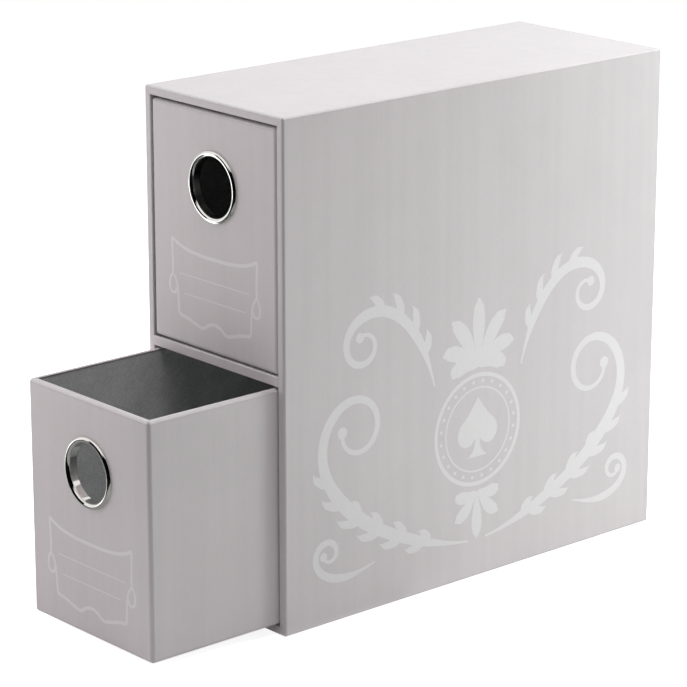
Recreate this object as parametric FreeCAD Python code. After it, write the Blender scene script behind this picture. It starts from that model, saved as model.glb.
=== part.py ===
import FreeCAD, Part
import math
import os

os.makedirs("parts", exist_ok=True)

# A tall card box: a paper-covered case of greyboard with two pull-out drawers, one above the other.
# Millimetres. +X is to the right of someone facing the drawers, the drawers pull out towards -Y and
# +Z is up. The origin is the centre of the case's underside.

# Drawer, measured over its paper.
drawer_width = 78.4
drawer_height = 100.1
drawer_length = 209.2
drawer_board = 2.3
drawer_edge_radius = 1.5

# Case.
case_board = 3.3
divider_board = 3.7
case_edge_radius = 1.0
mouth_edge_radius = 0.35

# Papers, and the covered card on each bay's floor, which the drawer slides on.
wrap_paper = 0.2
lining_paper = 0.2
base_paper = 0.2
base_paper_margin = 2.0
floor_card = 0.6
floor_card_margin = 1.5          # from the bay's sides and back
floor_card_setback = 5.0          # from the front of the case
case_lining_setback = 0.45
rim_wrap_depth = 0.3

# Room around each drawer in its bay.
side_clearance = 0.6
top_clearance = 1.0
glide_clearance = 0.1
back_clearance = 0.3
front_recess = 0.2

# How far the lower drawer stands open at rest.
lower_drawer_opening = 65.0

# Finger ring: one turned eyelet, clinched over a washer inside the drawer.
ring_height = 69.5            # of its centre, above the drawer's underside
ring_flange_radius = 15.0
ring_outer_roll = 1.2         # radius of the flange's round from its edge up to its crown
ring_inner_roll = 1.4         # and on from the crown into the bore
ring_lip_radius = 0.6         # of the rolled rear lip
ring_sheet = 0.4
ring_hole_clearance = 0.1
washer_radius = 15.4
washer_thickness = 0.5

# Places worked out from the sizes above.
drawer_wall = wrap_paper + drawer_board + lining_paper
case_wall = wrap_paper + case_board + lining_paper
divider_wall = lining_paper + divider_board + lining_paper
bay_width = drawer_width + 2 * side_clearance
bay_height = floor_card + glide_clearance + drawer_height + top_clearance
case_width = bay_width + 2 * case_wall
case_depth = front_recess + drawer_length + back_clearance + case_wall
front_y = -case_depth / 2
back_y = case_depth / 2
bay_back_y = back_y - case_wall
lower_floor_z = base_paper + case_wall
upper_floor_z = lower_floor_z + bay_height + divider_wall
case_height = upper_floor_z + bay_height + case_wall
bay_floors = {"lower": lower_floor_z, "upper": upper_floor_z}
drawer_openings = {"lower": lower_drawer_opening, "upper": 0.0}
ring_crown_radius = ring_flange_radius - ring_outer_roll
ring_bore_radius = ring_crown_radius - ring_inner_roll
barrel_radius = ring_bore_radius + ring_sheet
ring_hole_radius = barrel_radius + ring_hole_clearance
past = 5.0                    # how far a cutting block runs out of what it cuts


def block(x, y, z):
    """A box from its low and high x, y and z."""
    corner = FreeCAD.Vector(x[0], y[0], z[0])
    return Part.makeBox(x[1] - x[0], y[1] - y[0], z[1] - z[0], corner)


def rounded_block(x, y, z, radius):
    solid = block(x, y, z)
    return solid.makeFillet(radius, solid.Edges)


def half_width(width):
    return (-width / 2, width / 2)


def bay_block(floor_z, grown, front):
    """The clear space of one bay, grown outwards on every side but the mouth."""
    return block(half_width(bay_width + 2 * grown), (front, bay_back_y + grown),
                 (floor_z - grown, floor_z + bay_height + grown))


def round_mouths(solid, plane_y, grown, radius):
    """Round the four inner edges of each bay's mouth."""
    edges = []
    for edge in solid.Edges:
        box = edge.BoundBox
        in_plane = abs(box.YMin - plane_y) < 1e-6 and abs(box.YMax - plane_y) < 1e-6
        inside = max(-box.XMin, box.XMax) < bay_width / 2 + grown + 1e-6
        if in_plane and inside:
            edges.append(edge)
    return solid.makeFillet(radius, edges)


def case_body(skin, grown):
    """The case with its outer faces set in by skin and its bays wider by grown."""
    solid = rounded_block(half_width(case_width - 2 * skin), (front_y + skin, back_y - skin),
                          (base_paper + skin, case_height - skin), case_edge_radius - skin)
    for floor_z in bay_floors.values():
        solid = solid.cut(bay_block(floor_z, grown, front_y - past))
    return round_mouths(solid, front_y + skin, grown, mouth_edge_radius - skin)


def case_boards(core):
    """Cut the case's core into its six boards: sides full height, the others between them."""
    side_x = bay_width / 2 + lining_paper
    between = (-side_x, side_x)
    all_y = (front_y - past, back_y + past)
    all_z = (-past, case_height + past)
    floor_top = lower_floor_z - lining_paper
    ceiling = case_height - wrap_paper - case_board
    divider_z = (lower_floor_z + bay_height + lining_paper, upper_floor_z - lining_paper)
    back_inner = bay_back_y + lining_paper
    regions = {
        "case_left_board": block((-case_width, -side_x), all_y, all_z),
        "case_right_board": block((side_x, case_width), all_y, all_z),
        "case_top_board": block(between, all_y, (ceiling, case_height + past)),
        "case_bottom_board": block(between, all_y, (-past, floor_top)),
        "case_back_board": block(between, (back_inner, back_y + past), (floor_top, ceiling)),
        "case_divider_board": block(between, (front_y - past, back_inner), divider_z),
    }
    return {name: core.common(region) for name, region in regions.items()}


def case_papers(core):
    """The outer wrap, which turns in over the mouths, and the dark lining of each bay."""
    papers = case_body(0.0, 0.0).cut(core)
    parts = {}
    for name, floor_z in bay_floors.items():
        zone = bay_block(floor_z, lining_paper, front_y + case_lining_setback)
        parts[name + "_bay_lining"] = papers.common(zone)
        papers = papers.cut(zone)
    parts["case_wrap"] = papers
    return parts


def floor_cards():
    """The thin paper-covered card on the floor of each bay."""
    width = bay_width - 2 * floor_card_margin
    y = (front_y + floor_card_setback, bay_back_y - floor_card_margin)
    return {name + "_bay_floor_card": block(half_width(width), y, (floor_z, floor_z + floor_card))
            for name, floor_z in bay_floors.items()}


def base_sheet():
    width = case_width - 2 * base_paper_margin
    return block(half_width(width), (front_y + base_paper_margin, back_y - base_paper_margin),
                 (0.0, base_paper))


# A drawer is modelled with its front face on y = 0 and its underside on z = 0.


def cavity_block(grown, top):
    """The hollow of a drawer, grown outwards into its walls and floor."""
    wall = drawer_wall - grown
    return block(half_width(drawer_width - 2 * wall), (wall, drawer_length - wall), (wall, top))


def drawer_body(skin, grown):
    solid = rounded_block(half_width(drawer_width - 2 * skin), (skin, drawer_length - skin),
                          (skin, drawer_height - skin), drawer_edge_radius - skin)
    solid = solid.cut(cavity_block(grown, drawer_height + past))
    hole = Part.makeCylinder(ring_hole_radius, drawer_wall + 2 * past,
                             FreeCAD.Vector(0, -past, ring_height), FreeCAD.Vector(0, 1, 0))
    return solid.cut(hole)


def drawer_boards(core):
    """Cut the drawer's core into front, back, two sides and the bottom between them."""
    board_end = wrap_paper + drawer_board
    inner_x = drawer_width / 2 - board_end
    inner_y = (board_end, drawer_length - board_end)
    between = (-inner_x, inner_x)
    all_x = half_width(2 * drawer_width)
    all_z = (-past, drawer_height + past)
    regions = {
        "front_board": block(all_x, (-past, inner_y[0]), all_z),
        "back_board": block(all_x, (inner_y[1], drawer_length + past), all_z),
        "left_board": block((-drawer_width, -inner_x), inner_y, all_z),
        "right_board": block((inner_x, drawer_width), inner_y, all_z),
        "bottom_board": block(between, inner_y, (-past, board_end)),
    }
    return {name: core.common(region) for name, region in regions.items()}


def drawer_papers(core):
    """The light wrap, turned over the rim, and the dark lining inside."""
    papers = drawer_body(0.0, 0.0).cut(core)
    zone = cavity_block(lining_paper, drawer_height - rim_wrap_depth)
    return {"lining": papers.common(zone), "wrap": papers.cut(zone)}


def turned(points):
    """A solid turned about the ring's axis from corners (radius, y) and arcs (a middle and an end)."""
    place = [FreeCAD.Vector(r, y, 0) for r, y, _ in points]
    edges = []
    start = 0
    for i in range(1, len(points)):
        if points[i][2] == "middle":
            continue
        if points[i - 1][2] == "middle":
            edges.append(Part.Arc(place[start], place[i - 1], place[i]).toShape())
        else:
            edges.append(Part.LineSegment(place[start], place[i]).toShape())
        start = i
    edges.append(Part.LineSegment(place[start], place[0]).toShape())
    face = Part.Face(Part.Wire(edges))
    return face.revolve(FreeCAD.Vector(0, 0, 0), FreeCAD.Vector(0, 1, 0), 360)


def bend(centre, radius, start, stop):
    """The middle and the end of an arc of the section, in degrees from straight out towards +Y."""
    points = []
    for angle, kind in (((start + stop) / 2, "middle"), (stop, "corner")):
        turn = math.radians(angle)
        points.append((centre[0] + radius * math.cos(turn), centre[1] + radius * math.sin(turn), kind))
    return points


def finger_ring():
    """Eyelet of thin sheet: a half-round flange that runs into the bore, a barrel and a lip rolled
    over the washer."""
    crown = (ring_crown_radius, 0.0)
    inner = (ring_crown_radius, ring_inner_roll - ring_outer_roll)
    lip = (ring_bore_radius + ring_lip_radius, drawer_wall + washer_thickness)
    ring = turned([
        (ring_flange_radius, 0.0, "corner"),
        *bend(crown, ring_outer_roll, 0, -90),
        *bend(inner, ring_inner_roll, -90, -180),
        (ring_bore_radius, lip[1], "corner"),
        *bend(lip, ring_lip_radius, 180, 0),
        (lip[0] + ring_lip_radius - ring_sheet, lip[1], "corner"),
        *bend(lip, ring_lip_radius - ring_sheet, 0, 180),
        (barrel_radius, inner[1], "corner"),
        *bend(inner, ring_inner_roll - ring_sheet, -180, -90),
        *bend(crown, ring_outer_roll - ring_sheet, -90, 0),
    ])
    return ring.translated(FreeCAD.Vector(0, 0, ring_height))


def ring_washer():
    start = FreeCAD.Vector(0, drawer_wall, ring_height)
    along = FreeCAD.Vector(0, 1, 0)
    disc = Part.makeCylinder(washer_radius, washer_thickness, start, along)
    return disc.cut(Part.makeCylinder(ring_hole_radius, washer_thickness, start, along))


def drawer(name):
    """All pieces of one drawer, in its bay and pulled out by its opening."""
    core = drawer_body(wrap_paper, lining_paper)
    pieces = {name + "_drawer_" + key: shape for key, shape in drawer_boards(core).items()}
    for key, shape in drawer_papers(core).items():
        pieces[name + "_drawer_" + key] = shape
    pieces[name + "_finger_ring"] = finger_ring()
    pieces[name + "_ring_washer"] = ring_washer()
    place = FreeCAD.Vector(0, front_y + front_recess - drawer_openings[name],
                           bay_floors[name] + floor_card + glide_clearance)
    return {key: shape.translated(place) for key, shape in pieces.items()}


def case():
    core = case_body(wrap_paper, lining_paper)
    pieces = case_boards(core)
    pieces.update(case_papers(core))
    pieces.update(floor_cards())
    pieces["case_base_paper"] = base_sheet()
    return pieces


for pieces in (case(), drawer("upper"), drawer("lower")):
    for node, shape in pieces.items():
        shape.exportStep("parts/" + node + ".step")
        print(node, "solids", len(shape.Solids), "volume", round(shape.Volume, 1))
print("case", case_width, "x", case_depth, "x", round(case_height, 2))
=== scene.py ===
import math

import bmesh
import bpy
from mathutils import Matrix, Vector


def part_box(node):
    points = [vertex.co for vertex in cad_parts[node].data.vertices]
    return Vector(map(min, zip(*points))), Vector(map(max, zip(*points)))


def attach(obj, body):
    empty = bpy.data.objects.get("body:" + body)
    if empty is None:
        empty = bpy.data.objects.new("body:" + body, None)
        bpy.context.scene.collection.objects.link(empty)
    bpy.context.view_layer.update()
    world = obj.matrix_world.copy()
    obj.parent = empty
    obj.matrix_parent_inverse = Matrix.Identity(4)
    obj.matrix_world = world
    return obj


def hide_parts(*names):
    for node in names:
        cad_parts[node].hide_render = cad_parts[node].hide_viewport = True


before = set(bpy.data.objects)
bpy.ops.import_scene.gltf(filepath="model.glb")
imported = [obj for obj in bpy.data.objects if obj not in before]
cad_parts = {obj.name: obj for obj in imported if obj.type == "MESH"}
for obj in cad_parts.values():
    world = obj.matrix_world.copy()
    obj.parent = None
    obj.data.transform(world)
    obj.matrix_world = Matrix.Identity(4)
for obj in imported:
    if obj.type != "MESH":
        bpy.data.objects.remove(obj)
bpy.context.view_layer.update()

# A tall card box: a case of paper-covered board with two pull-out drawers and metal finger rings.
# Metres, in the CAD frame: +X to the right of someone facing the drawers, which pull out towards -Y.

# Camera.
camera_azimuth = 48.675
camera_elevation = 16.469
camera_distance = 1.18571      # from the point aimed at, which is in the plane of the case's front
camera_focal_pixels = 3078.126
image_pixels = 687
sensor_width = 36.0
aim_x = 0.079173
aim_z = 0.132637

# Paper and its folds.
paper = 0.0002                 # thickness of every sheet
case_edge_radius = 0.0010      # the wrap's outer edges
mouth_edge_radius = 0.00035    # where it turns into a bay
drawer_edge_radius = 0.0015
sheet_corner_radius = 0.0015   # of the back sheet
rim_inner_radius = 0.0004
rim_turn = 0.0008              # how far the wrap turns down inside a drawer's rim
lining_corner_radius = 0.0006
edge_steps = 6
strip_lift = 0.0001            # of the divider's edge strip over the wrap
strip_thickness = 0.00009
back_sheet_margin = 0.0016

# Finger ring, about an axis along Y through its centre; y counts from the drawer's front face.
ring_outer_radius = 0.0150
ring_outer_roll = 0.0012       # radius of the flange's round from its edge up to its crown
ring_inner_roll = 0.0014       # and on from the crown into the bore
ring_lip_radius = 0.0006       # of the rolled rear lip
ring_sheet = 0.0004
ring_play = 0.0001             # around the barrel in its hole
washer_chamfer = 0.0001
ring_bore_radius = ring_outer_radius - ring_outer_roll - ring_inner_roll
ring_hole_radius = ring_bore_radius + ring_sheet + ring_play
ring_steps = 128
hole_steps = 64
hole_frame = 0.0170            # half the square of the front sheet around the hole
sharp_angle = 35               # degrees; edges that turn more than this aren't shaded smooth

# Print.
print_lift = 0.00001           # of a print's middle plane off the paper
print_flatness = 0.003         # thickness of a printed stroke as a share of its width
print_thickness = 0.00001      # of a printed dot or filled figure
medallion_height = 0.066       # of the side ornament's middle over the case's foot
medallion_radius = 0.0240
medallion_inner_radius = 0.0184
bead_circle_radius = 0.0212

# Studio. Radii are from the upright axis through the case.
floor_half_size = 4.0
floor_glow = 0.86
lamp_aim_z = 0.1
sheet_z = 0.002                # of the dark sheets over the floor
# The grey sheet of painted floor shade, seen only in reflections, lies between these two radii.
floor_shade_near_radius = 0.06
floor_shade_far_radius = 0.30
room_radius = 1.4
low_wall_top = 0.95
high_wall_top = 1.7
floor_shade_azimuths = (-40, 100)    # from the first to the last, as seen from above
low_wall_azimuths = (-40, 18)
high_wall_azimuths = (18, 100)

# Colours.
wrap_colour = (0.645, 0.582, 0.600)
worn_colour = (0.78, 0.76, 0.74)
print_colour = (0.768, 0.718, 0.732)
label_colour = (0.760, 0.702, 0.719)
# Partly the lining paper's own grey and partly painted light: it is paler than the paper itself, for light
# that reaches the inside of the bays and drawers.
lining_colour_with_painted_light = (0.60, 0.60, 0.606)
base_colour = (0.70, 0.69, 0.69)
greyboard_colour = (0.42, 0.40, 0.37)
fleck_colour = (0.17, 0.16, 0.15)
nickel_colour = (0.80, 0.785, 0.755)
washer_colour = (0.60, 0.60, 0.60)

millimetre = 0.001
same_place = 1e-6              # slack when two places are compared
merge_distance = 1e-7          # vertices closer than this are merged


# ---------------------------------------------------------------- places read from the frame

def box(node):
    low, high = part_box(node)
    return Vector(low), Vector(high)


case_low, case_high = box("case_wrap")
bays = {}
for bay_name in ("lower", "upper"):
    lining_low, lining_high = box(bay_name + "_bay_lining")
    bays[bay_name] = (lining_low + Vector((paper, 0, paper)), lining_high - Vector((paper, paper, paper)))
drawer_boxes = {name: box(name + "_drawer_wrap") for name in bays}
drawer_linings = {name: box(name + "_drawer_lining") for name in bays}
ring_centres = {}
for ring_name in bays:
    ring_low, ring_high = box(ring_name + "_finger_ring")
    ring_centres[ring_name] = Vector((0, drawer_boxes[ring_name][0].y, (ring_low.z + ring_high.z) / 2))
drawer_wall = drawer_linings["upper"][0].x - drawer_boxes["upper"][0].x + paper
case_wall = bays["lower"][0].x - case_low.x


# ---------------------------------------------------------------- camera

def outward(azimuth, elevation):
    """Away from the box at these angles: degrees to the right of straight in front, and up."""
    turn, lift = math.radians(azimuth), math.radians(elevation)
    return Vector((math.sin(turn) * math.cos(lift), -math.cos(turn) * math.cos(lift), math.sin(lift)))


def add_camera():
    towards = outward(camera_azimuth, camera_elevation)
    lens = bpy.data.cameras.new("camera")
    lens.sensor_width = sensor_width
    lens.lens = camera_focal_pixels / image_pixels * sensor_width
    camera = bpy.data.objects.new("camera", lens)
    camera.location = Vector((aim_x, case_low.y, aim_z)) + towards * camera_distance
    camera.rotation_euler = (-towards).to_track_quat("-Z", "Y").to_euler()
    bpy.context.scene.collection.objects.link(camera)
    bpy.context.scene.camera = camera


add_camera()


# ---------------------------------------------------------------- nodes

def plug(tree, socket, value):
    if isinstance(value, bpy.types.NodeSocket):
        tree.links.new(value, socket)
    else:
        socket.default_value = value


def add_node(tree, kind, settings=None, **inputs):
    """A node with its settings and inputs; an underscore in an input's name stands for a space."""
    node = tree.nodes.new(kind)
    for key, value in (settings or {}).items():
        setattr(node, key, value)
    for key, value in inputs.items():
        plug(tree, node.inputs[key.replace("_", " ")], value)
    return node


def maths(tree, operation, a, b=0.0):
    node = tree.nodes.new("ShaderNodeMath")
    node.operation = operation
    plug(tree, node.inputs[0], a)
    plug(tree, node.inputs[1], b)
    return node.outputs[0]


def vector_maths(tree, operation, a, b=(0, 0, 0)):
    node = tree.nodes.new("ShaderNodeVectorMath")
    node.operation = operation
    plug(tree, node.inputs[0], a)
    plug(tree, node.inputs[1], b)
    return node.outputs["Vector"]


def spread(tree, value, low, high, new_low=0.0, new_high=1.0):
    """Map a range of values smoothly onto another."""
    node = add_node(tree, "ShaderNodeMapRange", {"interpolation_type": "SMOOTHSTEP"}, Value=value,
                    From_Min=low, From_Max=high, To_Min=new_low, To_Max=new_high)
    return node.outputs["Result"]


def noise(tree, vector, scale, detail=2.0, roughness=0.5):
    node = add_node(tree, "ShaderNodeTexNoise", Vector=vector, Scale=scale, Detail=detail,
                    Roughness=roughness)
    return node.outputs["Fac"]


def mix_colours(tree, factor, first, second, blend_type="MIX"):
    node = tree.nodes.new("ShaderNodeMix")
    node.data_type = "RGBA"
    node.blend_type = blend_type
    plug(tree, node.inputs["Factor"], factor)
    plug(tree, node.inputs[6], first)
    plug(tree, node.inputs[7], second)
    return node.outputs[2]


def new_group(name, inputs, outputs):
    """An empty node group with named inputs and float outputs."""
    tree = bpy.data.node_groups.new(name, "ShaderNodeTree")
    for label, value in inputs.items():
        kind = "NodeSocketFloat" if isinstance(value, float) else "NodeSocketVector"
        socket = tree.interface.new_socket(label, in_out="INPUT", socket_type=kind)
        socket.default_value = value
    for label in outputs:
        tree.interface.new_socket(label, in_out="OUTPUT", socket_type="NodeSocketFloat")
    return tree, tree.nodes.new("NodeGroupInput").outputs, tree.nodes.new("NodeGroupOutput").inputs


def use_group(tree, group, **inputs):
    node = tree.nodes.new("ShaderNodeGroup")
    node.node_tree = group
    for key, value in inputs.items():
        plug(tree, node.inputs[key.replace("_", " ")], value)
    return node.outputs


def paper_grain_group():
    """Felted fibres and a slow cloudiness. Sizes are in metres."""
    tree, given, out = new_group("paper_grain", {"Vector": (0, 0, 0), "Fibre Size": 0.0003,
                                                 "Cloud Size": 0.02}, ["Tone", "Cloud", "Height"])
    fibre_scale = maths(tree, "DIVIDE", 1.0, given["Fibre Size"])
    cloud_scale = maths(tree, "DIVIDE", 1.0, given["Cloud Size"])
    along = add_node(tree, "ShaderNodeMapping", Vector=given["Vector"], Scale=(1.0, 1.0, 0.25))
    across = add_node(tree, "ShaderNodeMapping", Vector=given["Vector"], Rotation=(0.6, 0.5, 0.7),
                      Scale=(0.3, 0.3, 1.0))
    first = noise(tree, along.outputs[0], fibre_scale, 3.0, 0.6)
    second = noise(tree, across.outputs[0], fibre_scale, 3.0, 0.6)
    fibres = maths(tree, "MULTIPLY", maths(tree, "ADD", first, second), 0.5)
    tree.links.new(spread(tree, fibres, 0.3, 0.7), out["Tone"])
    tree.links.new(spread(tree, noise(tree, given["Vector"], cloud_scale, 3.0), 0.3, 0.7), out["Cloud"])
    tree.links.new(fibres, out["Height"])
    return tree


def streak_group():
    """Faint upright streaks of a printed tone, whose width is in metres."""
    tree, given, out = new_group("upright_streaks", {"Vector": (0, 0, 0), "Width": 0.004}, ["Tone"])
    squeezed = vector_maths(tree, "MULTIPLY", given["Vector"], (1.0, 1.0, 0.03))
    scale = maths(tree, "DIVIDE", 1.0, given["Width"])
    tree.links.new(spread(tree, noise(tree, squeezed, scale, 2.0), 0.3, 0.7), out["Tone"])
    return tree


def wrapped_edge_group():
    """For a box centred on the vector's zero: its upright rounded edges, its corners and the creases
    where the paper starts to turn."""
    tree, given, out = new_group("wrapped_edges", {"Vector": (0, 0, 0), "Half Size": (1, 1, 1),
                                                   "Radius": 0.001}, ["Upright", "Corner", "Crease"])
    flat_half = vector_maths(tree, "SUBTRACT", given["Half Size"], given["Radius"])
    past = vector_maths(tree, "SUBTRACT", vector_maths(tree, "ABSOLUTE", given["Vector"]), flat_half)
    parts = add_node(tree, "ShaderNodeSeparateXYZ", Vector=past).outputs
    x, y, z = (maths(tree, "MAXIMUM", maths(tree, "DIVIDE", part, given["Radius"]), 0.0) for part in parts)
    pairs = [maths(tree, "MINIMUM", a, b) for a, b in ((x, y), (y, z), (x, z))]
    second = maths(tree, "MAXIMUM", maths(tree, "MAXIMUM", pairs[0], pairs[1]), pairs[2])
    third = maths(tree, "MINIMUM", pairs[0], z)
    tree.links.new(spread(tree, pairs[0], 0.0, 0.1), out["Upright"])
    tree.links.new(spread(tree, third, 0.02, 0.4), out["Corner"])
    start = spread(tree, second, 0.0, 0.06)
    stop = spread(tree, second, 0.12, 0.3, 1.0, 0.0)
    tree.links.new(maths(tree, "MULTIPLY", start, stop), out["Crease"])
    return tree


def mitre_group():
    """A diagonal line where two turned-in papers meet, from the distances to the two outer edges."""
    tree, given, out = new_group("mitre_line", {"First": 0.0, "Second": 0.0, "Band": 0.003,
                                                "Width": 0.0002}, ["Line"])
    apart = maths(tree, "ABSOLUTE", maths(tree, "SUBTRACT", given["First"], given["Second"]))
    near = maths(tree, "DIVIDE", apart, given["Width"])
    further = maths(tree, "MAXIMUM", given["First"], given["Second"])
    inside = maths(tree, "LESS_THAN", further, given["Band"])
    tree.links.new(maths(tree, "MULTIPLY", spread(tree, near, 0.4, 1.0, 1.0, 0.0), inside), out["Line"])
    return tree


def scuff_group():
    """Small scattered marks. Size is in metres; Cover is from none, 0, to everywhere, 1."""
    tree, given, out = new_group("scuffs", {"Vector": (0, 0, 0), "Size": 0.002, "Cover": 0.3}, ["Mask"])
    scale = maths(tree, "DIVIDE", 1.0, given["Size"])
    field = noise(tree, given["Vector"], scale, 5.0, 0.65)
    level = maths(tree, "SUBTRACT", 0.75, maths(tree, "MULTIPLY", given["Cover"], 0.5))
    tree.links.new(spread(tree, maths(tree, "SUBTRACT", field, level), 0.0, 0.08), out["Mask"])
    return tree


def turned_line_group():
    """Fine rings left by polishing, around an axis along Y."""
    tree, given, out = new_group("turned_lines", {"Vector": (0, 0, 0), "Spacing": 0.0001},
                                 ["Tone", "Height"])
    parts = add_node(tree, "ShaderNodeSeparateXYZ", Vector=given["Vector"]).outputs
    squares = [maths(tree, "MULTIPLY", part, part) for part in (parts[0], parts[2])]
    radius = maths(tree, "SQRT", maths(tree, "ADD", squares[0], squares[1]))
    around = maths(tree, "MULTIPLY", maths(tree, "ARCTAN2", parts[0], parts[2]), 0.0004)
    place = add_node(tree, "ShaderNodeCombineXYZ", X=radius, Y=around, Z=parts[1])
    scale = maths(tree, "DIVIDE", 1.0, given["Spacing"])
    lines = noise(tree, place.outputs[0], scale, 3.0, 0.6)
    tree.links.new(spread(tree, lines, 0.3, 0.7), out["Tone"])
    tree.links.new(lines, out["Height"])
    return tree


groups = {
    "grain": paper_grain_group(),
    "streaks": streak_group(),
    "edges": wrapped_edge_group(),
    "mitre": mitre_group(),
    "scuffs": scuff_group(),
    "turned": turned_line_group(),
}


# ---------------------------------------------------------------- materials

def new_material(name):
    """A material, its tree, its Principled shader and the object's own coordinates."""
    material = bpy.data.materials.new(name)
    material.use_nodes = True
    tree = material.node_tree
    shader = tree.nodes["Principled BSDF"]
    place = tree.nodes.new("ShaderNodeTexCoord").outputs["Object"]
    return material, tree, shader, place


def centred(tree, place, centre):
    return add_node(tree, "ShaderNodeMapping", Vector=place,
                    Location=(-centre.x, -centre.y, -centre.z)).outputs[0]


def bump(tree, height, strength, distance):
    return add_node(tree, "ShaderNodeBump", Strength=strength, Distance=distance,
                    Height=height).outputs["Normal"]


def shade(tree, colour, tone, low, high):
    """A colour times a tone that runs from low to high."""
    level = spread(tree, tone, 0.0, 1.0, low, high)
    grey = add_node(tree, "ShaderNodeCombineColor", Red=level, Green=level, Blue=level)
    return mix_colours(tree, 1.0, colour, grey.outputs[0], "MULTIPLY")


def wrap_paper(name, colour, low, high, radius, band, open_axis):
    """Printed satin paper around a box: grain, faint streaks, crease relief, slightly worn edges and mitred
    turn-ins on the open side, with painted shade along the creases, the mitre lines and the upright rounded
    edges. The open axis is 1, 2 or 3 for X, Y or Z, with the side's sign."""
    material, tree, shader, place = new_material(name)
    half = (high - low) / 2
    local = centred(tree, place, (low + high) / 2)
    grain = use_group(tree, groups["grain"], Vector=place, Fibre_Size=0.0004, Cloud_Size=0.03)
    streak = use_group(tree, groups["streaks"], Vector=place, Width=0.005)
    edge = use_group(tree, groups["edges"], Vector=local, Half_Size=half, Radius=radius)
    wear = use_group(tree, groups["scuffs"], Vector=place, Size=0.0012, Cover=0.35)
    gaps = vector_maths(tree, "SUBTRACT", half, vector_maths(tree, "ABSOLUTE", local))
    gap_parts = add_node(tree, "ShaderNodeSeparateXYZ", Vector=gaps).outputs
    parts = add_node(tree, "ShaderNodeSeparateXYZ", Vector=local).outputs
    axis = abs(open_axis) - 1
    first, second = (gap_parts[other] for other in range(3) if other != axis)
    mitre = use_group(tree, groups["mitre"], First=first, Second=second, Band=band, Width=0.00022)
    facing = maths(tree, "MULTIPLY", parts[axis], math.copysign(1.0, open_axis))
    on_face = maths(tree, "GREATER_THAN", facing, half[axis] - radius)
    mitre_line = maths(tree, "MULTIPLY", mitre["Line"], on_face)
    crease = maths(tree, "MAXIMUM", maths(tree, "MULTIPLY", edge["Crease"], 0.75), mitre_line)

    base = shade(tree, (*colour, 1.0), grain["Tone"], 0.975, 1.015)
    base = shade(tree, base, grain["Cloud"], 0.99, 1.01)
    base = shade(tree, base, streak["Tone"], 0.985, 1.01)
    # Painted shade: the creases, the mitre lines of the turn-ins and the upright rounded edges are mixed
    # towards a darker copy of the paper's colour, for the shade that falls there.
    fold_shade_colour = tuple(0.62 * part for part in colour)
    upright = maths(tree, "MULTIPLY", edge["Upright"], 0.25)
    folded = maths(tree, "MAXIMUM", maths(tree, "MULTIPLY", crease, 0.6), upright)
    base = mix_colours(tree, folded, base, (*fold_shade_colour, 1.0))
    worn = maths(tree, "MULTIPLY", maths(tree, "MULTIPLY", edge["Corner"], wear["Mask"]), 0.5)
    base = mix_colours(tree, worn, base, (*worn_colour, 1.0))
    plug(tree, shader.inputs["Base Color"], base)
    rough = spread(tree, grain["Tone"], 0.0, 1.0, 0.42, 0.50)
    plug(tree, shader.inputs["Roughness"], maths(tree, "ADD", rough, maths(tree, "MULTIPLY", worn, 0.3)))
    height = maths(tree, "SUBTRACT", maths(tree, "MULTIPLY", grain["Height"], 0.3), crease)
    plug(tree, shader.inputs["Normal"], bump(tree, height, 0.35, 0.00006))
    return material


def printed_tone(name, colour):
    """The paler print of the label frames and the side ornament, with the paper's grain in it."""
    material, tree, shader, place = new_material(name)
    grain = use_group(tree, groups["grain"], Vector=place, Fibre_Size=0.0004, Cloud_Size=0.03)
    base = shade(tree, (*colour, 1.0), grain["Tone"], 0.965, 1.02)
    plug(tree, shader.inputs["Base Color"], base)
    plug(tree, shader.inputs["Roughness"], spread(tree, grain["Tone"], 0.0, 1.0, 0.36, 0.46))
    plug(tree, shader.inputs["Normal"], bump(tree, grain["Height"], 0.2, 0.00003))
    return material


def plain_paper(name, colour, roughness, fibre, strength):
    """Uncoated paper: visible fibres, cloudiness and a little rubbed dust."""
    material, tree, shader, place = new_material(name)
    grain = use_group(tree, groups["grain"], Vector=place, Fibre_Size=fibre, Cloud_Size=0.012)
    dust = use_group(tree, groups["scuffs"], Vector=place, Size=0.003, Cover=0.2)
    base = shade(tree, (*colour, 1.0), grain["Tone"], 0.86, 1.12)
    base = shade(tree, base, grain["Cloud"], 0.94, 1.06)
    paler = tuple(part * 1.25 + 0.01 for part in colour)
    base = mix_colours(tree, maths(tree, "MULTIPLY", dust["Mask"], 0.25), base, (*paler, 1.0))
    plug(tree, shader.inputs["Base Color"], base)
    plug(tree, shader.inputs["Roughness"], spread(tree, grain["Cloud"], 0.0, 1.0, *roughness))
    plug(tree, shader.inputs["Normal"], bump(tree, grain["Height"], strength, 0.0001))
    return material


def greyboard_material():
    """Recycled greyboard: flecked, fibrous and dull."""
    material, tree, shader, place = new_material("greyboard")
    grain = use_group(tree, groups["grain"], Vector=place, Fibre_Size=0.0006, Cloud_Size=0.01)
    flecks = use_group(tree, groups["scuffs"], Vector=place, Size=0.0009, Cover=0.18)
    base = shade(tree, (*greyboard_colour, 1.0), grain["Tone"], 0.8, 1.15)
    base = shade(tree, base, grain["Cloud"], 0.93, 1.07)
    base = mix_colours(tree, maths(tree, "MULTIPLY", flecks["Mask"], 0.6), base, (*fleck_colour, 1.0))
    plug(tree, shader.inputs["Base Color"], base)
    plug(tree, shader.inputs["Roughness"], spread(tree, grain["Tone"], 0.0, 1.0, 0.82, 0.94))
    plug(tree, shader.inputs["Normal"], bump(tree, grain["Height"], 0.6, 0.00015))
    return material


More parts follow.
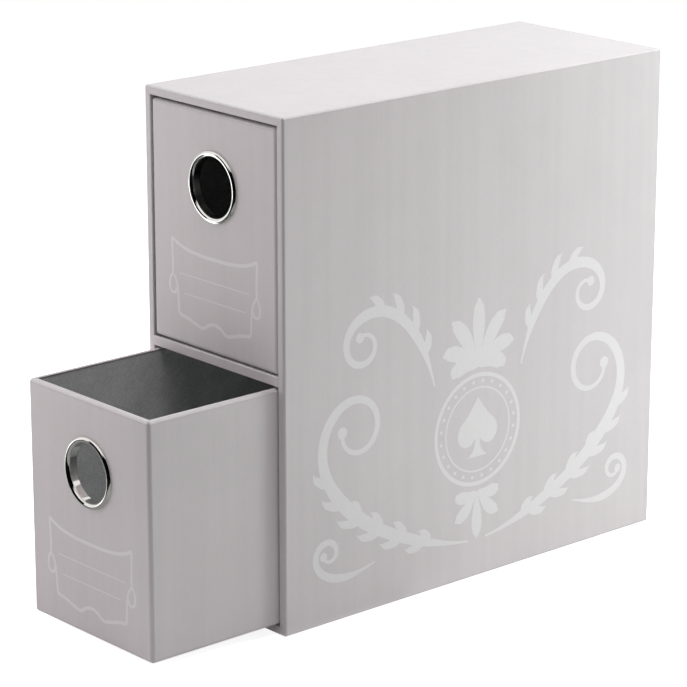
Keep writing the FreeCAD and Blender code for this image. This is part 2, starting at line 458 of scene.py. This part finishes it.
def turned_metal(name, colour, centre, roughness, spacing, strength):
    """Plated or bare metal with polishing lines around the ring's axis and a few dull spots."""
    material, tree, shader, place = new_material(name)
    local = centred(tree, place, centre)
    turned = use_group(tree, groups["turned"], Vector=local, Spacing=spacing)
    spots = use_group(tree, groups["scuffs"], Vector=place, Size=0.0015, Cover=0.15)
    base = shade(tree, (*colour, 1.0), turned["Tone"], 0.96, 1.0)
    darker = tuple(0.7 * part for part in colour)
    base = mix_colours(tree, maths(tree, "MULTIPLY", spots["Mask"], 0.3), base, (*darker, 1.0))
    plug(tree, shader.inputs["Base Color"], base)
    shader.inputs["Metallic"].default_value = 1.0
    rough = spread(tree, turned["Tone"], 0.0, 1.0, *roughness)
    dull = maths(tree, "MULTIPLY", spots["Mask"], 0.12)
    plug(tree, shader.inputs["Roughness"], maths(tree, "ADD", rough, dull))
    plug(tree, shader.inputs["Normal"], bump(tree, turned["Height"], strength, 0.00002))
    return material


materials = {
    "case_wrap": wrap_paper("printed_case_paper", wrap_colour, case_low, case_high, case_edge_radius,
                            case_wall, -2),
    "print": printed_tone("pale_print", print_colour),
    "label": printed_tone("pale_label_print", label_colour),
    "dark": plain_paper("dark_lining_paper", lining_colour_with_painted_light, (0.72, 0.85), fibre=0.0005, strength=0.35),
    "base": plain_paper("base_paper", base_colour, (0.75, 0.88), fibre=0.0005, strength=0.3),
    "board": greyboard_material(),
}
for name, (low, high) in drawer_boxes.items():
    materials[name + "_wrap"] = wrap_paper(name + "_drawer_paper", wrap_colour, low, high,
                                           drawer_edge_radius, drawer_wall, 3)
    materials[name + "_ring"] = turned_metal(name + "_nickel", nickel_colour, ring_centres[name],
                                             (0.06, 0.10), spacing=0.00012, strength=0.08)
    materials[name + "_washer"] = turned_metal(name + "_washer_steel", washer_colour, ring_centres[name],
                                               (0.25, 0.4), spacing=0.0001, strength=0.3)


# ---------------------------------------------------------------- mesh helpers

def box_mesh(low, high):
    bm = bmesh.new()
    place = Matrix.Translation((low + high) / 2) @ Matrix.Diagonal((*(high - low), 1.0))
    bmesh.ops.create_cube(bm, size=1.0, matrix=place)
    return bm


def faces_on(bm, axis, value):
    """The faces that lie in the plane where this axis has this value."""
    return [face for face in bm.faces if all(abs(v.co[axis] - value) < same_place for v in face.verts)]


def face_nearest(bm, y, place):
    """The face at this y whose middle is nearest to a place."""
    return min(faces_on(bm, 1, y), key=lambda face: (face.calc_center_median() - place).length)


def slice_plane(bm, faces, axis, value):
    """Cut these flat faces along a plane and leave the rest of the mesh whole."""
    geometry = set(faces)
    for face in faces:
        geometry.update(face.edges)
        geometry.update(face.verts)
    normal = [0, 0, 0]
    normal[axis] = 1
    point = [0, 0, 0]
    point[axis] = value
    bmesh.ops.bisect_plane(bm, geom=list(geometry), dist=merge_distance, plane_co=point, plane_no=normal)


def on_box_edge(edge, low, high):
    """Whether an edge runs along an outer edge of the box from low to high."""
    shared = 0
    for axis in range(3):
        first, second = (v.co[axis] for v in edge.verts)
        for side in (low[axis], high[axis]):
            shared += abs(first - side) < same_place and abs(second - side) < same_place
    return shared == 2


def bevel_edges(bm, edges, radius, steps=edge_steps):
    bmesh.ops.bevel(bm, geom=edges, offset=radius, offset_type="OFFSET", affect="EDGES",
                    segments=steps, profile=0.5, material=-1, clamp_overlap=False)


def turn_in(bm, faces, direction):
    """Replace faces by walls that run from their outline along a direction, open at the end."""
    moved = bmesh.ops.extrude_face_region(bm, geom=faces)["geom"]
    verts = [part for part in moved if isinstance(part, bmesh.types.BMVert)]
    caps = [part for part in moved if isinstance(part, bmesh.types.BMFace)]
    bmesh.ops.translate(bm, verts=verts, vec=direction)
    bmesh.ops.delete(bm, geom=caps + faces, context="FACES_ONLY")


def round_hole(bm, face_y, centre, radius):
    """Open a round hole in the sheet's flat front, inside a square that is cut out around it."""
    for axis in (0, 2):
        for side in (-hole_frame, hole_frame):
            slice_plane(bm, faces_on(bm, 1, face_y), axis, centre[axis] + side)
    square = face_nearest(bm, face_y, centre)
    bmesh.ops.subdivide_edges(bm, edges=square.edges[:], cuts=hole_steps // 4 - 1)
    bmesh.ops.inset_region(bm, faces=[square], thickness=hole_frame / 8)
    for vert in square.verts:
        vert.co = centre + (vert.co - centre).normalized() * radius
    bmesh.ops.delete(bm, geom=[square], context="FACES_ONLY")


def add_object(name, bm, material):
    """Turn a bmesh into an object of the scene."""
    mesh = bpy.data.meshes.new(name)
    bm.to_mesh(mesh)
    bm.free()
    mesh.materials.append(material)
    made = bpy.data.objects.new(name, mesh)
    bpy.context.scene.collection.objects.link(made)
    return made


def add_piece(name, bm, material, body, replaces=(), thickness=None):
    """Make a bmesh a piece that rides on a body. A thickness gives a sheet its second side."""
    bmesh.ops.remove_doubles(bm, verts=bm.verts[:], dist=merge_distance)
    bmesh.ops.recalc_face_normals(bm, faces=bm.faces[:])
    piece = add_object(name, bm, material)
    piece.data.shade_smooth()
    piece.data.set_sharp_from_angle(angle=math.radians(sharp_angle))
    if thickness:
        solid = piece.modifiers.new("paper_thickness", "SOLIDIFY")
        solid.thickness = abs(thickness)
        solid.offset = math.copysign(1.0, thickness)
        solid.use_even_offset = True
    even = piece.modifiers.new("even_shading", "WEIGHTED_NORMAL")
    even.keep_sharp = True
    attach(piece, body)
    if replaces:
        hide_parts(*replaces)


# ---------------------------------------------------------------- case

def edge_ends(edge):
    return tuple(sorted(tuple(v.co) for v in edge.verts))


def case_cover():
    """The wrap around the case, which turns in at the mouth of each bay."""
    bm = box_mesh(case_low, case_high)
    front = case_low.y
    low, high = bays["lower"]
    for side in (low.x, high.x):
        slice_plane(bm, faces_on(bm, 1, front), 0, side)
    for low, high in bays.values():
        for side in (low.z, high.z):
            slice_plane(bm, faces_on(bm, 1, front), 2, side)
    mouths = []
    for low, high in bays.values():
        centre = Vector((0, front, (low.z + high.z) / 2))
        mouths.append(face_nearest(bm, front, centre))
    places = [edge_ends(edge) for face in mouths for edge in face.edges]
    turn_in(bm, mouths, Vector((0, bays["lower"][0].y - front, 0)))
    outer = [edge for edge in bm.edges if on_box_edge(edge, case_low, case_high)]
    bevel_edges(bm, outer, case_edge_radius)
    inner = [edge for edge in bm.edges if edge_ends(edge) in places]
    bevel_edges(bm, inner, mouth_edge_radius)
    add_piece("case_cover", bm, materials["case_wrap"], "case", ["case_wrap"], -paper)


def divider_strip():
    """The separate strip of paper over the front edge of the divider."""
    lower_top = bays["lower"][1].z
    upper_floor = bays["upper"][0].z
    side = bays["lower"][1].x
    low = Vector((-side, case_low.y - strip_lift, lower_top - strip_lift))
    high = Vector((side, bays["lower"][0].y, upper_floor + strip_lift))
    bm = box_mesh(low, high)
    ends = faces_on(bm, 0, low.x) + faces_on(bm, 0, high.x) + faces_on(bm, 1, high.y)
    bmesh.ops.delete(bm, geom=ends, context="FACES_ONLY")
    folds = [edge for edge in bm.edges if len(edge.link_faces) == 2]
    bevel_edges(bm, folds, mouth_edge_radius + strip_lift)
    add_piece("divider_edge_strip", bm, materials["case_wrap"], "case",
              thickness=-strip_thickness)


def back_sheet():
    """The sheet that covers the wrap's turned edges at the back."""
    margin = Vector((back_sheet_margin + case_edge_radius, 0, back_sheet_margin + case_edge_radius))
    low = Vector((case_low.x, case_high.y, case_low.z)) + margin
    high = Vector((case_high.x, case_high.y + paper, case_high.z)) - margin
    bm = box_mesh(low, high)
    corners = [edge for edge in bm.edges if abs(edge.verts[0].co.y - edge.verts[1].co.y) > paper / 2]
    bevel_edges(bm, corners, sheet_corner_radius, 4)
    add_piece("case_back_sheet", bm, materials["case_wrap"], "case")


# ---------------------------------------------------------------- drawers

def drawer_cover(name):
    """A drawer's wrap: five sides, turned over the rim, with a hole for the ring."""
    low, high = drawer_boxes[name]
    bm = box_mesh(low, high)
    round_hole(bm, low.y, ring_centres[name], ring_hole_radius)
    top = faces_on(bm, 2, high.z)
    bmesh.ops.inset_region(bm, faces=top, thickness=drawer_wall, use_even_offset=True)
    turn_in(bm, top, Vector((0, 0, -rim_turn)))
    outer = [edge for edge in bm.edges if on_box_edge(edge, low, high)]
    bevel_edges(bm, outer, drawer_edge_radius)
    wall = Vector((drawer_wall, drawer_wall, 0))
    rim = [edge for edge in bm.edges if on_box_edge(edge, low + wall, high - wall)
           and abs(edge.verts[0].co.z - edge.verts[1].co.z) < same_place]
    bevel_edges(bm, rim, rim_inner_radius, 3)
    add_piece(name + "_drawer_cover", bm, materials[name + "_wrap"], name + "_drawer",
              [name + "_drawer_wrap"], -paper)


def drawer_inside(name):
    """The dark lining of a drawer: four walls and the floor, with softly folded corners."""
    low, high = drawer_linings[name]
    low = low + Vector((paper, paper, paper))
    high = Vector((high.x - paper, high.y - paper, high.z))
    bm = box_mesh(low, high)
    centre = Vector((0, low.y, ring_centres[name].z))
    round_hole(bm, low.y, centre, ring_hole_radius)
    bmesh.ops.delete(bm, geom=faces_on(bm, 2, high.z), context="FACES_ONLY")
    folds = [edge for edge in bm.edges if on_box_edge(edge, low, high) and len(edge.link_faces) == 2]
    bevel_edges(bm, folds, lining_corner_radius, 4)
    add_piece(name + "_drawer_lining_paper", bm, materials["dark"], name + "_drawer",
              [name + "_drawer_lining"], paper)


# ---------------------------------------------------------------- rings

def arc(centre, radius, start, stop, steps):
    """Points (radius from the axis, y) along an arc, in degrees from the radial direction to +Y."""
    points = []
    for step in range(steps + 1):
        angle = math.radians(start + (stop - start) * step / steps)
        points.append((centre[0] + radius * math.cos(angle), centre[1] + radius * math.sin(angle)))
    return points


def spin_profile(points, centre, steps):
    """A closed solid turned about an axis along Y from its section (radius from the axis, y)."""
    bm = bmesh.new()
    verts = [bm.verts.new(centre + Vector((radius, y, 0))) for radius, y in points]
    edges = [bm.edges.new((verts[i - 1], verts[i])) for i in range(len(verts))]
    bmesh.ops.spin(bm, geom=verts + edges, cent=centre, axis=(0, 1, 0), dvec=(0, 0, 0),
                   angle=2 * math.pi, steps=steps, use_merge=True)
    return bm


def finger_ring(name):
    """The eyelet: a half-round flange that runs into the bore, the barrel and a lip rolled over the
    washer."""
    washer_back = box(name + "_ring_washer")[1].y
    crown = (ring_outer_radius - ring_outer_roll, 0)
    inner = (crown[0], ring_inner_roll - ring_outer_roll)
    lip = (ring_bore_radius + ring_lip_radius, washer_back - ring_centres[name].y)
    points = arc(crown, ring_outer_roll, 0, -90, 12)
    points += arc(inner, ring_inner_roll, -90, -180, 12)[1:]
    points += arc(lip, ring_lip_radius, 180, 0, 10)
    points += arc(lip, ring_lip_radius - ring_sheet, 0, 180, 6)
    points += arc(inner, ring_inner_roll - ring_sheet, -180, -90, 8)
    points += arc(crown, ring_outer_roll - ring_sheet, -90, 0, 8)[1:]
    bm = spin_profile(points, ring_centres[name], ring_steps)
    add_piece(name + "_pull_ring", bm, materials[name + "_ring"], name + "_drawer",
              [name + "_finger_ring"])


def back_washer(name):
    """The steel washer inside the drawer, with broken edges."""
    low, high = box(name + "_ring_washer")
    outer = (high.x - low.x) / 2
    front = low.y - ring_centres[name].y
    back = high.y - ring_centres[name].y
    flat = outer - washer_chamfer
    points = [(ring_hole_radius, front), (flat, front), (outer, front + washer_chamfer),
              (outer, back - washer_chamfer), (flat, back), (ring_hole_radius, back)]
    bm = spin_profile(points, ring_centres[name], ring_steps)
    add_piece(name + "_pull_washer", bm, materials[name + "_washer"], name + "_drawer",
              [name + "_ring_washer"])


# ---------------------------------------------------------------- print

def blended(values, share):
    """The value at a share of the way through a list, eased from each value to the next."""
    place = share * (len(values) - 1)
    index = min(int(place), len(values) - 2)
    part = place - index
    part = part * part * (3 - 2 * part)
    return values[index] * (1 - part) + values[index + 1] * part


def swept_line(start, heading, length, bends, steps):
    """Points along a line drawn from a heading, whose bend eases through the given values. A bend is
    in degrees over the whole length."""
    point = Vector((*start, 0))
    angle = math.radians(heading)
    points = []
    for step in range(steps + 1):
        points.append(point.copy())
        angle += math.radians(blended(bends, step / steps)) / steps
        point += Vector((math.cos(angle), math.sin(angle), 0)) * length / steps
    return points


def in_millimetres(pairs):
    return [Vector((x, y, 0)) * millimetre for x, y in pairs]


def mirrored(points):
    return [Vector((-point.x, point.y, 0)) for point in points]


def new_drawing():
    """A curve for strokes, in which a point's radius is half the stroke's width there."""
    curve = bpy.data.curves.new("strokes", "CURVE")
    curve.dimensions = "3D"
    curve.twist_mode = "Z_UP"
    curve.bevel_depth = 1.0
    curve.bevel_resolution = 0
    curve.resolution_u = 10
    curve.use_fill_caps = True
    return curve


def draw_line(drawing, points, widths, closed=False):
    """A stroke through points, whose width eases through the given values."""
    spline = drawing.splines.new("POLY")
    spline.points.add(len(points) - 1)
    spline.use_cyclic_u = closed
    for index, (point, knot) in enumerate(zip(points, spline.points)):
        knot.co = (*point, 1.0)
        knot.radius = blended(widths, index / (len(points) - 1)) / 2


def draw_curve(drawing, points, width):
    """A smooth stroke of one width through a few points."""
    spline = drawing.splines.new("BEZIER")
    spline.bezier_points.add(len(points) - 1)
    for point, knot in zip(points, spline.bezier_points):
        knot.co = point
        knot.handle_left_type = knot.handle_right_type = "AUTO"
        knot.radius = width / 2


def circle_points(centre, radius, count, first=0.0):
    """Points evenly around a circle. The first lies a share of one step past the right-hand side."""
    turns = [2 * math.pi * (step + first) / count for step in range(count)]
    return [centre + Vector((math.cos(turn), math.sin(turn), 0)) * radius for turn in turns]


def add_curve(bm, curve):
    """Turn a curve into faces of the bmesh."""
    holder = bpy.data.objects.new("holder", curve)
    mesh = bpy.data.meshes.new_from_object(holder)
    bm.from_mesh(mesh)
    bpy.data.objects.remove(holder)
    bpy.data.curves.remove(curve)
    bpy.data.meshes.remove(mesh)


def flattened(drawing):
    """A bmesh of the drawing's strokes, pressed thin."""
    bm = bmesh.new()
    add_curve(bm, drawing)
    bmesh.ops.scale(bm, verts=bm.verts[:], vec=(1, 1, print_flatness))
    return bm


def add_dot(bm, centre, radius):
    bmesh.ops.create_cone(bm, cap_ends=True, segments=20, radius1=radius, radius2=radius,
                          depth=print_thickness, matrix=Matrix.Translation(centre))


def add_figure(bm, knots):
    """A filled figure from points (x, y, whether the outline turns a corner there)."""
    curve = bpy.data.curves.new("figure", "CURVE")
    curve.dimensions = "2D"
    curve.fill_mode = "BOTH"
    curve.extrude = print_thickness / 2
    curve.resolution_u = 10
    spline = curve.splines.new("BEZIER")
    spline.use_cyclic_u = True
    spline.bezier_points.add(len(knots) - 1)
    for (x, y, corner), knot in zip(knots, spline.bezier_points):
        knot.co = (x, y, 0)
        knot.handle_left_type = knot.handle_right_type = "VECTOR" if corner else "AUTO"
    add_curve(bm, curve)


def add_print(name, bm, right, out, origin, material, body):
    """Lay a print on a face. Right and out are the face's own directions; up is always up."""
    up = Vector((0, 0, 1))
    turn = Matrix((right, up, out)).transposed().to_4x4()
    bmesh.ops.transform(bm, matrix=Matrix.Translation(origin + out * print_lift) @ turn, verts=bm.verts[:])
    add_piece(name, bm, material, body)


def label_frame(name):
    """A scrolled label frame with two lines to write on, on a drawer's front."""
    heavy = 0.0015
    light = 0.0012
    faint = 0.0005
    top = ((0, 39.5), (11, 39.8), (18.5, 40.8), (22.8, 42.0), (27.2, 43.9))
    foot = ((0, 12.2), (3.6, 11.4), (7.4, 9.3), (12.0, 10.0), (17.0, 11.4), (22.9, 12.4))
    side = ((27.2, 43.9), (26.9, 39.0), (26.7, 34.0), (26.8, 29.0))
    waist = ((26.8, 29.0), (24.7, 26.3), (23.7, 22.4), (23.2, 17.0), (22.9, 12.4))
    curl = ((26.8, 29.0), (28.3, 26.8), (28.8, 24.0), (28.2, 21.6), (26.6, 20.7), (25.0, 21.3),
            (24.6, 22.9))
    drawing = new_drawing()
    for line in (side, waist, curl):
        points = in_millimetres(line)
        draw_curve(drawing, points, light)
        draw_curve(drawing, mirrored(points), light)
    for line in (top, foot):
        half = in_millimetres(line)
        draw_curve(drawing, mirrored(half)[:0:-1] + half, heavy)
    for height, reach in ((0.0297, 0.0222), (0.0216, 0.0195)):
        draw_line(drawing, [Vector((-reach, height, 0)), Vector((reach, height, 0))], [faint, faint])
    bm = flattened(drawing)
    low = drawer_boxes[name][0]
    add_print(name + "_label_print", bm, Vector((1, 0, 0)), Vector((0, -1, 0)), Vector((0, low.y, low.z)),
              materials["label"], name + "_drawer")


def draw_both(drawing, points, widths):
    """A stroke on both halves of the ornament."""
    draw_line(drawing, points, widths)
    draw_line(drawing, mirrored(points), widths)


def grow_leaves(drawing, stem, shares, turn, length, bends, widths):
    """Leaves that leave a stem at shares of its length, longest in the middle of the row."""
    for index, share in enumerate(shares):
        at = int(share * (len(stem) - 1))
        way = stem[at + 1] - stem[at]
        heading = math.degrees(math.atan2(way.y, way.x)) + turn
        full = 0.7 + 0.3 * math.sin(math.pi * (index + 0.5) / len(shares))
        draw_both(drawing, swept_line(stem[at][:2], heading, length * full, bends, 16), widths)


def grow_fan(drawing, foot, heading, spacing, lengths, bend, width):
    """Round lobes that fan out from a foot on the middle line, where the first lobe stands."""
    for index, length in enumerate(lengths):
        start = (0.0005 * index, foot)
        line = swept_line(start, heading - spacing * index, length, [0, -bend * index], 32)
        shape = [width * share for share in (0.2, 0.38, 0.6, 0.84, 1.0, 1.02, 0.86, 0.2)]
        if index:
            draw_both(drawing, line, shape)
        else:
            draw_line(drawing, line, shape)


def side_ornament(name, side):
    """Leafy scrolls around a medallion with a spade, on one side of the case, the same both ways."""
    middle = Vector((0, medallion_height, 0))
    drawing = new_drawing()
    for radius, width in ((medallion_radius, 0.0018), (medallion_inner_radius, 0.0008)):
        draw_line(drawing, circle_points(middle, radius, 96), [width, width], closed=True)
    stem = swept_line((0.005, 0.017), 6, 0.186, [110, 60, 140, 480, 900, 1250], 200)
    curl = swept_line((0.058, 0.021), -16, 0.066, [20, 160, 620, 1150], 120)
    crest = swept_line((0.025, 0.090), 74, 0.112, [-40, -130, -330, -760, -1250], 160)
    draw_both(drawing, stem, [0.0010, 0.0050, 0.0064, 0.0048, 0.0030, 0.0018])
    draw_both(drawing, curl, [0.0008, 0.0036, 0.0030, 0.0015])
    draw_both(drawing, crest, [0.0008, 0.0046, 0.0048, 0.0030, 0.0016])
    leaf = [0.0020, 0.0042, 0.0034, 0.0003]
    grow_leaves(drawing, stem, (0.14, 0.21, 0.28, 0.35, 0.42, 0.49), -34, 0.015, [-20, 120], leaf)
    grow_leaves(drawing, stem, (0.12, 0.20, 0.28, 0.36), 34, 0.012, [20, -110], leaf)
    grow_leaves(drawing, crest, (0.14, 0.24, 0.34, 0.44), 36, 0.014, [20, -120], leaf)
    grow_fan(drawing, 0.0935, 90, 25, (0.030, 0.027, 0.022, 0.015), 60, 0.0068)
    grow_fan(drawing, 0.0385, -90, -36, (0.021, 0.017, 0.012), -70, 0.0056)
    bm = flattened(drawing)
    for line, radius in ((stem, 0.0026), (curl, 0.0019), (crest, 0.0022)):
        add_dot(bm, line[-1], radius)
        add_dot(bm, mirrored(line)[-1], radius)
    for bead in circle_points(middle, bead_circle_radius, 24, 0.5):
        add_dot(bm, bead, 0.0008)
    half = ((5.2, 7.4, False), (11.2, 0.2, False), (9.6, -5.6, False), (5.0, -6.8, False),
            (1.2, -4.0, True), (2.2, -8.6, False), (5.4, -12.0, True))
    spade = [(0, 14.2, True), *half, *((-x, y, corner) for x, y, corner in reversed(half))]
    add_figure(bm, [(x * millimetre, y * millimetre + middle.y, corner) for x, y, corner in spade])
    origin = Vector((case_high.x if side > 0 else case_low.x, (case_low.y + case_high.y) / 2, case_low.z))
    add_print(name, bm, Vector((0, side, 0)), Vector((side, 0, 0)), origin, materials["print"], "case")


# ---------------------------------------------------------------- dress the CAD nodes

def dress(node, material):
    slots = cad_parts[node].data.materials
    slots.clear()
    slots.append(material)


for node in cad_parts:
    if node.endswith("_board"):
        dress(node, materials["board"])
    elif node.endswith(("_bay_lining", "_floor_card")):
        dress(node, materials["dark"])
    elif node == "case_base_paper":
        dress(node, materials["base"])

case_cover()
divider_strip()
back_sheet()
for name in drawer_boxes:
    drawer_cover(name)
    drawer_inside(name)
    finger_ring(name)
    back_washer(name)
    label_frame(name)
side_ornament("case_right_ornament", 1)
side_ornament("case_left_ornament", -1)


# ---------------------------------------------------------------- studio

def soft_lamp(name, azimuth, elevation, distance, width, height, watts, colour):
    """A soft box aimed at the middle of the case. Reflections don't show it."""
    towards = outward(azimuth, elevation)
    light = bpy.data.lights.new(name, "AREA")
    light.shape = "RECTANGLE"
    light.size = width
    light.size_y = height
    light.energy = watts
    light.color = colour
    lamp = bpy.data.objects.new(name, light)
    lamp.location = Vector((0, 0, lamp_aim_z)) + towards * distance
    lamp.rotation_euler = (-towards).to_track_quat("-Z", "Y").to_euler()
    lamp.visible_glossy = False
    bpy.context.scene.collection.objects.link(lamp)


def seen_directly(tree):
    """One for rays from the camera, a mirror or glass, and nothing for the light on the object."""
    path = tree.nodes.new("ShaderNodeLightPath").outputs
    seen = maths(tree, "MAXIMUM", path["Is Camera Ray"], path["Is Glossy Ray"])
    return maths(tree, "MAXIMUM", seen, path["Is Transmission Ray"])


def floor_material():
    """A plain pale floor, which the camera and reflections see as a white ground with soft shadows."""
    material, tree, shader, _ = new_material("pale_floor")
    shader.inputs["Base Color"].default_value = (0.92, 0.92, 0.92, 1.0)
    shader.inputs["Roughness"].default_value = 0.9
    shader.inputs["Emission Color"].default_value = (1.0, 1.0, 1.0, 1.0)
    plug(tree, shader.inputs["Emission Strength"], maths(tree, "MULTIPLY", seen_directly(tree), floor_glow))
    return material


def flag_material(name, level):
    """A dull surface without gloss, of one grey."""
    material, _, shader, _ = new_material(name)
    shader.inputs["Base Color"].default_value = (level, level, level, 1.0)
    shader.inputs["Specular IOR Level"].default_value = 0.0
    return material


def surround(name, azimuths, points, material):
    """A sector of the room between two azimuths in degrees, turned from points (radius, height). It
    only shows in reflections."""
    start, stop = azimuths
    bm = bmesh.new()
    verts = [bm.verts.new((0, -radius, height)) for radius, height in points]
    edges = [bm.edges.new(pair) for pair in zip(verts, verts[1:])]
    bmesh.ops.rotate(bm, verts=verts, matrix=Matrix.Rotation(math.radians(start), 3, "Z"))
    bmesh.ops.spin(bm, geom=verts + edges, axis=(0, 0, 1), dvec=(0, 0, 0),
                   angle=math.radians(stop - start), steps=24)
    flag = add_object(name, bm, material)
    flag.visible_camera = False
    flag.visible_diffuse = False
    flag.visible_shadow = False
    flag.visible_transmission = False


def add_floor():
    bm = bmesh.new()
    bmesh.ops.create_grid(bm, x_segments=1, y_segments=1, size=floor_half_size)
    add_object("floor", bm, floor_material())


def add_surroundings():
    grey = flag_material("painted_floor_shade", 0.34)
    black = flag_material("black_flag", 0.005)
    near, far, wall = ((radius, sheet_z) for radius in (floor_shade_near_radius, floor_shade_far_radius, room_radius))
    # Painted shade: a grey sheet in front of the box, seen only in reflections, stands for the shaded floor
    # near the box.
    surround("painted_floor_shade_in_front", floor_shade_azimuths, (near, far), grey)
    surround("dark_room_in_front", low_wall_azimuths, (far, wall, (room_radius, low_wall_top)), black)
    surround("dark_room_right", high_wall_azimuths, (far, wall, (room_radius, high_wall_top)), black)


def add_lamps():
    # Name, azimuth, elevation, distance, width, height, watts and colour.
    soft_lamp("rear_right_softbox", 150, 25, 0.5, 0.3, 0.4, 2.3, (0.92, 1.0, 0.97))
    soft_lamp("left_softbox", -60, 10, 0.8, 0.6, 0.6, 3.5, (1.0, 1.0, 1.0))
    soft_lamp("top_softbox", 180, 85, 1.0, 0.8, 0.8, 5.8, (0.87, 1.0, 0.96))
    soft_lamp("front_top_softbox", 45, 70, 0.9, 0.6, 0.6, 3.2, (1.0, 0.965, 0.98))
    soft_lamp("low_front_softbox", -25, 4, 0.6, 0.4, 0.2, 0.4, (1.0, 1.0, 1.0))


def add_world():
    """A white background, which lights nothing."""
    world = bpy.data.worlds.new("studio")
    bpy.context.scene.world = world
    world.use_nodes = True
    tree = world.node_tree
    background = tree.nodes["Background"].inputs
    background["Color"].default_value = (1.0, 1.0, 1.0, 1.0)
    plug(tree, background["Strength"], seen_directly(tree))


add_floor()
add_surroundings()
add_lamps()
add_world()
bpy.context.scene.view_settings.view_transform = "Standard"
